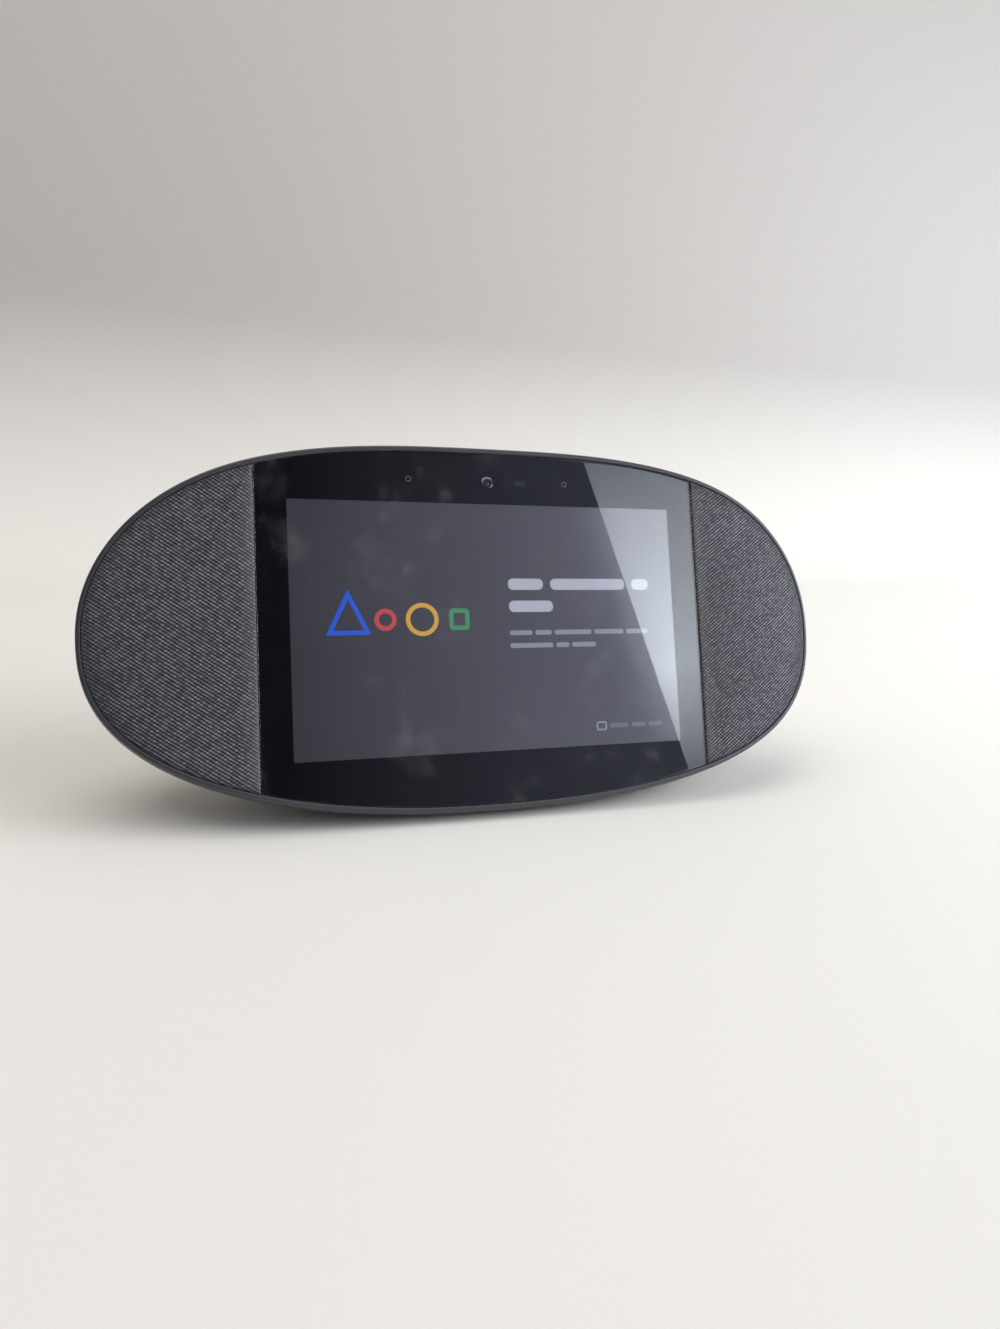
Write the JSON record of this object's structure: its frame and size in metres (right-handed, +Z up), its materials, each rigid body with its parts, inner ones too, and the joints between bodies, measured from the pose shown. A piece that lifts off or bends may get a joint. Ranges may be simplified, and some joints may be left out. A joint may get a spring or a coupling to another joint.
{
  "type": "smart display",
  "caption": "Tabletop smart display with a tilted oval face: flat screen between fabric speaker wings, domed rear shell with passive radiator, rubber foot.",
  "frame": {"origin": "centre of the floor area under the object, on the table; the foot stands at z = 0", "axes": "+X to the right of the screen as a user sees it, +Y to the back, +Z up"},
  "size_m": [0.3358, 0.0992, 0.1521],
  "materials": {
    "bezel": "satin dark grey",
    "glass": "glossy, printed black behind",
    "foam": "closed-cell foam",
    "lcd": "satin",
    "sheet_metal": "stamped",
    "frame": "moulded",
    "module": "moulded",
    "lens": "coated glass",
    "light_pipe": "smoked",
    "board": "solder mask",
    "shutter": "moulded",
    "fabric": "melange weave",
    "grille": "moulded",
    "basket": "glass-filled",
    "ferrite": "sintered",
    "steel": "zinc plated",
    "cone": "coated pulp",
    "coil": "wound copper on a former",
    "surround": "butyl",
    "spider": "treated cloth",
    "shell": "soft-touch",
    "foot": "silicone",
    "radiator": "moulded",
    "button": "satin",
    "mute_mark": "satin",
    "flex": "polyimide film",
    "spreader": "extruded"
  },
  "bodies": {
    "housing": {"bezel_ring": "bezel", "cover_glass": "glass", "glass_gasket": "foam", "display_panel": "lcd", "backlight_unit": "sheet_metal", "front_frame": "frame", "camera_module": "module", "camera_lens": "lens", "light_sensor": "light_pipe", "left_microphone": "board", "right_microphone": "board", "left_fabric": "fabric", "right_fabric": "fabric", "left_grille": "grille", "right_grille": "grille", "left_basket": "basket", "right_basket": "basket", "left_magnet": "ferrite", "right_magnet": "ferrite", "left_yoke": "steel", "right_yoke": "steel", "left_surround": "surround", "right_surround": "surround", "left_spider": "spider", "right_spider": "spider", "left_driver_gasket": "foam", "right_driver_gasket": "foam", "seam_gasket": "foam", "rear_shell": "shell", "radiator_frame": "frame", "radiator_gasket": "foam", "radiator_surround": "surround", "rubber_foot": "foot", "main_board": "board", "shield_can": "sheet_metal", "heat_spreader": "spreader", "power_board": "board", "dc_jack": "module", "key_board": "board", "dome_switches": "steel", "mute_switch": "steel", "display_ribbon": "flex", "antennas": "flex", "frame_screws": "steel", "driver_screws": "steel", "board_screws": "steel", "radiator_screws": "steel"},
    "left_cone_unit": {"left_cone": "cone", "left_voice_coil": "coil"},
    "right_cone_unit": {"right_cone": "cone", "right_voice_coil": "coil"},
    "radiator_unit": {"radiator_diaphragm": "radiator", "radiator_weight": "steel"},
    "shutter": {"shutter_blade": "shutter", "shutter_knob": "button"},
    "mute_slider": {"mute_knob": "mute_mark"},
    "volume_down": {"volume_down_button": "button"},
    "volume_up": {"volume_up_button": "button"}
  },
  "joints": [
    {"name": "left_cone_travel", "type": "slide", "parent": "housing", "child": "left_cone_unit", "axis": [-0.1564, -0.9281, 0.3378], "range_m": [-0.003, 0.003], "stiffness_N_per_m": 1000, "deforming": ["left_surround", "left_spider"]},
    {"name": "right_cone_travel", "type": "slide", "parent": "housing", "child": "right_cone_unit", "axis": [0.1564, -0.9281, 0.3378], "range_m": [-0.003, 0.003], "stiffness_N_per_m": 1000, "deforming": ["right_surround", "right_spider"]},
    {"name": "radiator_travel", "type": "slide", "parent": "housing", "child": "radiator_unit", "axis": [0, 1, 0], "range_m": [-0.0035, 0.0035], "stiffness_N_per_m": 1500, "deforming": ["radiator_surround"]},
    {"name": "volume_down_press", "type": "slide", "parent": "housing", "child": "volume_down", "axis": [0, -0.4419, -0.8971], "range_m": [0, 0.0006], "stiffness_N_per_m": 300},
    {"name": "volume_up_press", "type": "slide", "parent": "housing", "child": "volume_up", "axis": [0, -0.4419, -0.8971], "range_m": [0, 0.0006], "stiffness_N_per_m": 300},
    {"name": "shutter_slide", "type": "slide", "parent": "housing", "child": "shutter", "axis": [1, 0, 0], "range_m": [0, 0.008]},
    {"name": "mute_slide", "type": "slide", "parent": "housing", "child": "mute_slider", "axis": [1, 0, 0], "range_m": [0, 0.003]}
  ]
}
